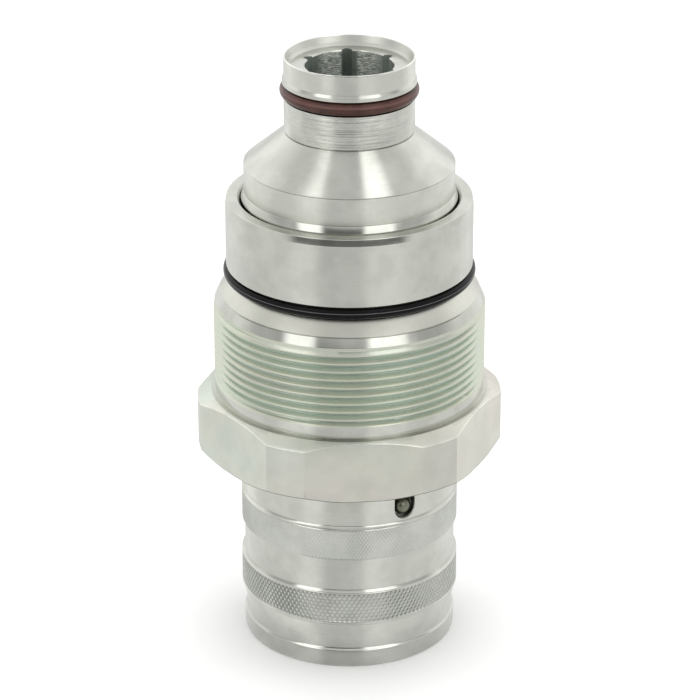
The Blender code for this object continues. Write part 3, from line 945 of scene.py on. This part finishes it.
def make_nose():
    profile = NOSE_TOP + neck_marks() + NOSE_BELOW
    nose = turned("nose_adapter", profile, 240, "core", NOSE, sharp=24)
    # six upright slots with narrowed bottoms in the bore wall
    half = 0.9
    slot = [
        (6.0, -half), (7.75, -half), (8.5, -0.42), (8.72, -0.14),
        (8.72, 0.14), (8.5, 0.42), (7.75, half), (6.0, half),
    ]
    slots = bmesh.new()
    for k in range(6):
        turn = Matrix.Rotation(math.radians(33.3 + 60 * k), 4, "Z")
        stack(slots, [(slot, 46.0), (slot, 62.0)], turn)
    carve(nose, slots, sharp=24)
    finish_zones(nose, [
        (BORE, 0, 8.95, 43.0, 59.5),
        (FACET, 18.3, 18.9, 35.9, 37.2),
        # painted highlight on the lip's outer edge
        (LIP_EDGE_HIGHLIGHT, 11.0, 11.31, 61.08, 61.4),
        (LIP, 10.05, 11.31, 59.62, 61.4),
        (SHOULDER, 11.25, 11.35, 57.8, 61.09),
        (SHOULDER, 18.3, 18.4, 37.2, 41.86),
        (FACET, 11.3, 11.7, 56.6, 57.9),
        (NECK, 11.2, 11.35, 48.1, 54.0),
    ])


make_nose()
round_ring(
    "nose_oring", 10.85, 55.3, 1.15, "core", BROWN, sides=32, columns=240
)
round_ring("adapter_seal", 13.35, -0.7, 0.72, "core", BLACK)

# ---------------------------------------------------------------- core: housing, stem, spider


def make_housing():
    profile = [
        (12.35, FOOT, 0.15), (15.6, FOOT, 0.25), (15.6, -46.1, 0.05), (15.05, -46.1, 0.1),
        (15.05, -44.7, 0.1), (15.6, -44.7, 0.05), (15.6, -34.5, 0.1), (14.9, -34.5, 0.1),
        (14.9, -19.2, 0.1), (16.95, -19.2, 0.15), (16.95, -12.85, 0.05), (16.2, -12.85, 0.05),
        (16.2, -11.55, 0.05), (16.95, -11.55, 0.05), (16.95, 5.8, 0.1), (18.45, 5.8, 0.15),
        (18.45, 10.0, 0.15), (14.15, 10.0, 0.1), (14.15, -3.5, 0.05), (12.0, -3.5, 0.1),
        (12.0, -12.0, 0.1), (9.15, -12.0, 0.1), (9.15, -13.8, 0.05), (11.0, -13.8, 0.05),
        (11.0, -16.2, 0.05), (9.15, -16.2, 0.05), (9.15, -18.0, 0.1), (12.35, -18.0, 0.1),
    ]
    housing = turned("valve_housing", profile, 216, "core", INNER)
    holes = bmesh.new()
    hole = circle(2.15, 40)
    for k in range(12):
        stack(holes, [(hole, 11.5), (hole, 17.0)], outward(7.5 + 30 * k, -40.5))
    pocket = circle(1.6, 40)
    layers = [(pocket, 15.6), (pocket, 16.8), (circle(1.72, 40), 17.2)]
    stack(holes, layers, outward(HOLE_ANGLE, HOLE_Z))
    carve(housing, holes)


def make_stem():
    """A solid turned rod; its open profile starts and ends on the axis."""
    profile = [
        (0, FOOT, 0), (6.45, FOOT, 0.25), (6.45, -45.45, 0.05), (4.95, -45.45, 0.1),
        (4.95, -43.85, 0.1), (6.45, -43.85, 0.05), (6.45, -43.5, 0.15), (3.2, -41.0, 0.6),
        (3.2, 9.7, 0.05), (2.4, 9.7, 0.05), (2.4, 18.45, 0.3), (0, 18.45, 0),
    ]
    revolve("stem", rounded(profile), 128, "core", GROUND)
    round_ring("stem_seal", 5.78, -44.65, 0.74, "core", BLACK, columns=128)


def make_spider():
    profile = rectangle(2.6, 10.4, 10.0, 13.5)
    spider = turned("spider", profile, 128, "core", INNER, fillet=0.2)
    ports = bmesh.new()
    for k in range(6):
        angle = TAU * k / 6
        port = circle(2.2, 40, (6.5 * math.cos(angle), 6.5 * math.sin(angle)))
        stack(ports, [(port, 9.0), (port, 15.0)], Matrix.Identity(4))
    carve(spider, ports)


def make_nut():
    """A hexagon nut with both faces chamfered."""
    low, high, bore, face = 13.7, 17.0, 2.6, 4.2
    angle = full_turn(144)
    outer = hex_outline(angle, flat=4.3, corner=4.85)
    ones = np.ones_like(outer)
    chamfer = (outer - face) * 0.5
    rows = [
        (bore * ones, low * ones), (face * ones, low * ones), (outer, low + chamfer),
        (outer, high - chamfer), (face * ones, high * ones), (2.75 * ones, high * ones),
        (bore * ones, 16.85 * ones), (bore * ones, low * ones),
    ]
    shell = Shell()
    shell.grid(*(np.array(column) for column in zip(*rows)), angle)
    place("stem_nut", shell.welded(), "core", INNER)


make_housing()
make_stem()
make_spider()
make_nut()
round_ring("tube_seal", 10.06, -15.25, 0.82, "core", BLACK)
turned(
    "tube_backup_ring", rectangle(9.25, 10.9, -14.35, -13.9), 128, "core", PTFE,
    fillet=0.05,
)
ball("lock_ball", 1.58, "core", SHADED_LOCK_BALL, proud=0.3)
split_ring("core_circlip", rounded(rectangle(16.3, 18.4, -12.7, -11.7), 0.12), 127.5, "core")
split_ring("sleeve_stop_ring", circle(0.62, 16, (15.7, -45.4)), 217.5, "core")

# ---------------------------------------------------------------- springs

# node, mean radius, wire, low end, high end, live turns, body, slide, share of the length kept;
# a spring with a slide gets its own mesh, but nothing here squashes it or reads the share
SPRINGS = [
    ("valve_spring", 9.0, 1.5, -9.5, 9.8, 4, "core", "tube_slide", 0.585),
    ("ring_spring", 10.75, 1.25, -35.8, -18.2, 4, "core", "retainer_slide", 0.545),
    ("sleeve_spring", 16.05, 1.4, -32.8, -19.4, 4, "core", None, None),
    ("return_spring", 16.8, 2.0, 10.3, 28.1, 3.5, "carrier", "core_slide", 0.86),
]
for node, mean_r, wire, low_z, high_z, live, body, slide, keep in SPRINGS:
    spring = coil(node, mean_r, wire, low_z, high_z, live, body)
    if slide:
        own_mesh(spring)

# ---------------------------------------------------------------- sleeve with knurled bands

SLEEVE_COLUMNS = 240
# around and along count the diamonds, samples the mesh steps across each; flat is the share of a
# ridge's slope that is cut, second how high the shallower set of lines stays
FINE_BAND = dict(
    radius=19.4, low=-25.35, high=-19.76, around=200, along=6, depth=0.08, samples=6,
    flat=0.55, second=0.25,
)
COARSE_BAND = dict(
    radius=19.48, low=-37.75, high=-32.37, around=144, along=4, depth=0.17, samples=8,
    flat=0.42, second=0.22,
)
# (radius, z) down the outside, then up the bore and back to the start
SLEEVE_UPPER = [
    (17.15, -33.0), (17.15, -13.55), (17.3, -13.4), (18.65, -13.4), (18.8, -13.45),
    (18.88, -13.55), (18.9, -13.7), (18.9, -18.92), (18.91, -19.00), (18.935, -19.06),
    (19.17, -19.46), (19.30, -19.58), (19.37, -19.67),
]
SLEEVE_MIDDLE = [
    (19.36, -25.45), (19.28, -25.52), (18.95, -25.62), (18.9, -25.7), (18.9, -31.48),
    (18.91, -31.56), (18.935, -31.62), (19.19, -32.05), (19.36, -32.17), (19.45, -32.27),
]
SLEEVE_LOWER = [
    (19.45, -37.82), (19.36, -37.9), (19.38, -37.98), (19.45, -38.05), (19.47, -38.18),
    (19.42, -38.32), (19.3, -38.45), (18.72, -41.0), (18.68, -41.2), (18.67, -41.4),
    (18.67, -43.28), (18.685, -43.36), (18.84, -43.65), (18.95, -43.77), (19.0, -43.9),
    (19.0, -46.6), (18.97, -46.78), (18.88, -46.9), (18.75, -46.95), (16.8, -46.95),
    (16.66, -46.9), (16.6, -46.75), (16.6, -40.6), (16.56, -40.35), (15.8, -36.95),
    (15.75, -36.75), (15.75, -33.1), (15.85, -33.0), (17.15, -33.0),
]


def knurl(shell, radius, low, high, around, along, depth, samples, flat, second):
    """A band of diamond knurling that runs out to plain edges at both ends."""
    columns, rows = around * samples, along * samples
    across = np.linspace(0, around, columns + 1)[None, :]
    t = np.linspace(0, 1, rows + 1)[:, None]
    down = t * along

    def ridge(q):
        q = q - np.floor(q)
        return np.minimum((1 - np.abs(2 * q - 1)) / flat, 1.0)

    # one set of lines is deeper than the other
    height = np.minimum(ridge(across + down), second + (1 - second) * ridge(across - down))
    edge = np.clip(np.minimum(t, 1 - t) * (high - low) / 0.12, 0, 1)
    shell.grid(radius - depth * (1 - height) * edge, high - (high - low) * t, full_turn(columns))


def add_band(shell, band, above, below):
    """A knurled band joined to the plain rings above and below it."""
    columns = band["around"] * band["samples"]
    shell.step(above, SLEEVE_COLUMNS, (band["radius"], band["high"]), columns)
    knurl(shell, **band)
    shell.step((band["radius"], band["low"]), columns, below, SLEEVE_COLUMNS)


def cut_ball_slot(sleeve):
    """A slot with a round lower end and a flared mouth, open upwards."""
    layers = []
    for height, flare in ((14.0, 0.0), (18.62, 0.0), (19.6, 0.55)):
        half = 2.0 + flare
        outline = [(half, 4.5), (-half, 4.5)]
        for k in range(25):
            angle = math.pi + math.pi * k / 24
            outline.append((half * math.cos(angle), half * math.sin(angle)))
        layers.append((outline, height))
    cutter = bmesh.new()
    stack(cutter, layers, outward(HOLE_ANGLE, HOLE_Z))
    carve(sleeve, cutter, sharp=24)


def make_sleeve():
    shell = Shell()
    plain = full_turn(SLEEVE_COLUMNS)
    shell.rings(SLEEVE_UPPER, plain)
    add_band(shell, FINE_BAND, SLEEVE_UPPER[-1], SLEEVE_MIDDLE[0])
    shell.rings(SLEEVE_MIDDLE, plain)
    add_band(shell, COARSE_BAND, SLEEVE_MIDDLE[-1], SLEEVE_LOWER[0])
    shell.rings(SLEEVE_LOWER, plain)
    sleeve = place(
        "locking_sleeve", shell.welded(), "sleeve", SLEEVE, sharp=24
    )
    cut_ball_slot(sleeve)
    finish_zones(sleeve, [
        (FINE_KNURL, 19.05, math.inf, -25.38, -19.74),
        (COARSE_KNURL, 19.05, math.inf, -37.78, -32.35),
        (FACET, 18.9, math.inf, -19.76, -18.96),
        (FACET, 18.9, math.inf, -32.37, -31.52),
        (FACET, 18.68, math.inf, -43.9, -43.2),
        (SHOULDER, 18.8, math.inf, -18.96, -13.6),
    ])


make_sleeve()

# ---------------------------------------------------------------- valve tube, retainer, balls


def make_valve_tube():
    body = "valve_tube_body"
    profile = [
        (8.45, FOOT, 0.05), (9.0, FOOT, 0.12), (9.0, -11.8, 0.05), (10.2, -11.8, 0.1),
        (10.2, -9.8, 0.15), (7.2, -9.8, 0.15), (7.2, -42.8, 0.1), (6.6, -43.4, 0.1),
        (6.6, FOOT, 0.1), (7.15, FOOT, 0.05), (7.15, -45.4, 0.05), (8.45, -45.4, 0.05),
    ]
    turned("valve_tube", profile, 160, body, GROUND)
    round_ring("face_seal", 7.8, -46.0, 0.55, body, BLACK, columns=160)


def make_retainer():
    profile = [
        (9.2, FOOT, 0.15), (11.45, FOOT, 0.15), (12.25, -40.5, 0.2), (12.25, -36.0, 0.15),
        (9.2, -36.0, 0.15),
    ]
    turned("retainer_ring", profile, 180, "retainer", GROUND)


make_valve_tube()
make_retainer()
for k in range(1, 13):
    ball(f"locking_ball_{k:02d}", 2.0, f"ball_{k:02d}", BALL)

# ---------------------------------------------------------------- floor


def floor_material():
    """A pale floor that is clear when seen from below."""
    material, net, shader = new_material("floor_pale")
    grain = net.noise(net.new("ShaderNodeTexCoord").outputs["Object"], scale=40.0)
    tone = net.mix(grain, colour((0.93, 0.93, 0.93)), colour((0.95, 0.95, 0.95)))
    net.feed(shader.inputs["Base Color"], tone)
    shader.inputs["Roughness"].default_value = 0.9
    shader.inputs["Specular IOR Level"].default_value = 0.0
    clear = net.new("ShaderNodeBsdfTransparent")
    blend = net.new("ShaderNodeMixShader")
    net.feed(blend.inputs["Fac"], net.new("ShaderNodeNewGeometry").outputs["Backfacing"])
    net.feed(blend.inputs[1], shader.outputs[0])
    net.feed(blend.inputs[2], clear.outputs[0])
    output = material.node_tree.nodes["Material Output"]
    net.feed(output.inputs["Surface"], blend.outputs[0])
    return material


def make_floor():
    half = 3  # metres
    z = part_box("locking_sleeve")[0][2] - 0.00005
    data = bpy.data.meshes.new("floor")
    build = bmesh.new()
    corners = ((-half, -half), (half, -half), (half, half), (-half, half))
    build.faces.new([build.verts.new((x, y, z)) for x, y in corners])
    build.to_mesh(data)
    build.free()
    floor = bpy.data.objects.new("floor", data)
    bpy.context.scene.collection.objects.link(floor)
    data.materials.append(floor_material())
    floor.visible_glossy = False
    # the part stands on the sleeve's rim, so the floor stays under it when the sleeve moves
    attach(floor, "sleeve")


make_floor()

# ---------------------------------------------------------------- light and camera


def make_world():
    """A pale studio; directions are unit vectors, and -Y is the camera's side."""
    world = bpy.data.worlds.new("studio")
    bpy.context.scene.world = world
    world.use_nodes = True
    net = Net(world.node_tree)
    background = world.node_tree.nodes["Background"]
    x, y, z = net.split(net.new("ShaderNodeTexCoord").outputs["Generated"])
    times, window = net.times, net.window

    def band(low, high, soft=0.03):
        return window(z, low, high, soft)

    def sideways():
        return net.math("ABSOLUTE", x)

    def overhead():
        return net.smooth(z, low=0.84, high=0.90)

    front = net.smooth(y, low=-0.05, high=0.20, start=1.0, end=0.0)
    back = net.smooth(y, low=-0.05, high=0.30)
    below = net.smooth(z, low=-0.06, high=0.0, start=1.0, end=0.0)
    gap = window(x, -0.40, 0.22, soft=0.07)
    wide = window(x, -0.80, 0.78, soft=0.08)
    base = 0.86
    # each patch is a product of masks; its last factor is the brightness added to the base
    patches = [
        # pale bench left and right, darker between
        times(window(x, -0.74, -0.46, soft=0.07), front, below, 0.16),
        times(window(x, 0.26, 0.72, soft=0.08), front, below, 0.12),
        times(gap, front, below, -0.11),
        # dark far edge of the room behind the camera
        times(wide, front, band(-0.07, 0.12), -0.70),
        # two soft boxes, with the dark around and between them
        times(wide, front, band(0.14, 0.44, 0.04), -0.26),
        times(window(x, -0.78, -0.46, soft=0.04), front, band(0.14, 0.60), 1.10),
        times(window(x, 0.26, 0.72, soft=0.04), front, band(0.14, 0.60), 1.05),
        times(window(x, -0.42, 0.22, soft=0.04), front, band(0.12, 0.42), -0.42),
        times(window(sideways(), 0.80, 0.98, soft=0.03), front, band(0.14, 0.44), -0.28),
        # the same boxes almost overhead
        times(gap, front, net.smooth(z, low=0.50, high=0.60), -0.12),
        times(
            window(x, -0.48, -0.29, soft=0.04), window(y, -0.34, 0.0, soft=0.06), overhead(), 1.00
        ),
        times(
            window(x, 0.16, 0.43, soft=0.04), window(y, -0.34, 0.0, soft=0.06), overhead(), 1.20
        ),
        times(
            window(x, -0.3, 0.3, soft=0.15), window(y, 0.05, 0.30, soft=0.06), overhead(), -0.15
        ),
        # lighter wall behind the part, and lighter sides to it
        times(back, band(0.10, 0.70, 0.12), 0.22),
        times(back, window(sideways(), 0.45, 0.85, soft=0.12), band(-0.5, 0.6, 0.2), 0.18),
    ]
    total = base
    for patch in patches:
        total = net.plus(total, patch)
    warm_blue = 0.985  # a little less blue than red and green
    net.feed(background.inputs["Color"], net.combine(total, total, times(total, warm_blue)))
    background.inputs["Strength"].default_value = 1.0


def make_top_light():
    """A square soft light above the part, not seen in reflections."""
    data = bpy.data.lights.new("top_soft", "AREA")
    data.shape = "RECTANGLE"
    data.size = data.size_y = 0.9
    data.energy = 5.0
    lamp = bpy.data.objects.new("top_soft", data)
    lamp.location = (0.0, 0.1, 0.9 + LIFT * MM)
    aim = Vector((0, 0, LIFT * MM)) - Vector((0.0, 0.1, 0.9 + LIFT * MM))
    lamp.rotation_euler = aim.to_track_quat("-Z", "Y").to_euler()
    lamp.visible_camera = False
    bpy.context.scene.collection.objects.link(lamp)
    lamp.visible_glossy = False


def make_camera():
    look_down = 23.82  # degrees below level
    data = bpy.data.cameras.new("camera")
    camera = bpy.data.objects.new("camera", data)
    bpy.context.scene.collection.objects.link(camera)
    data.sensor_width = 36.0
    data.lens = 164.0
    data.shift_x = 0.00086
    data.clip_start = 0.01
    data.clip_end = 20.0
    camera.location = (0.0, -0.5167, 0.2345 + LIFT * MM)
    camera.rotation_euler = (math.radians(90 - look_down), 0, 0)
    bpy.context.scene.camera = camera


make_world()
make_top_light()
make_camera()
bpy.context.scene.view_settings.view_transform = "Standard"
bpy.context.scene.view_settings.look = "None"
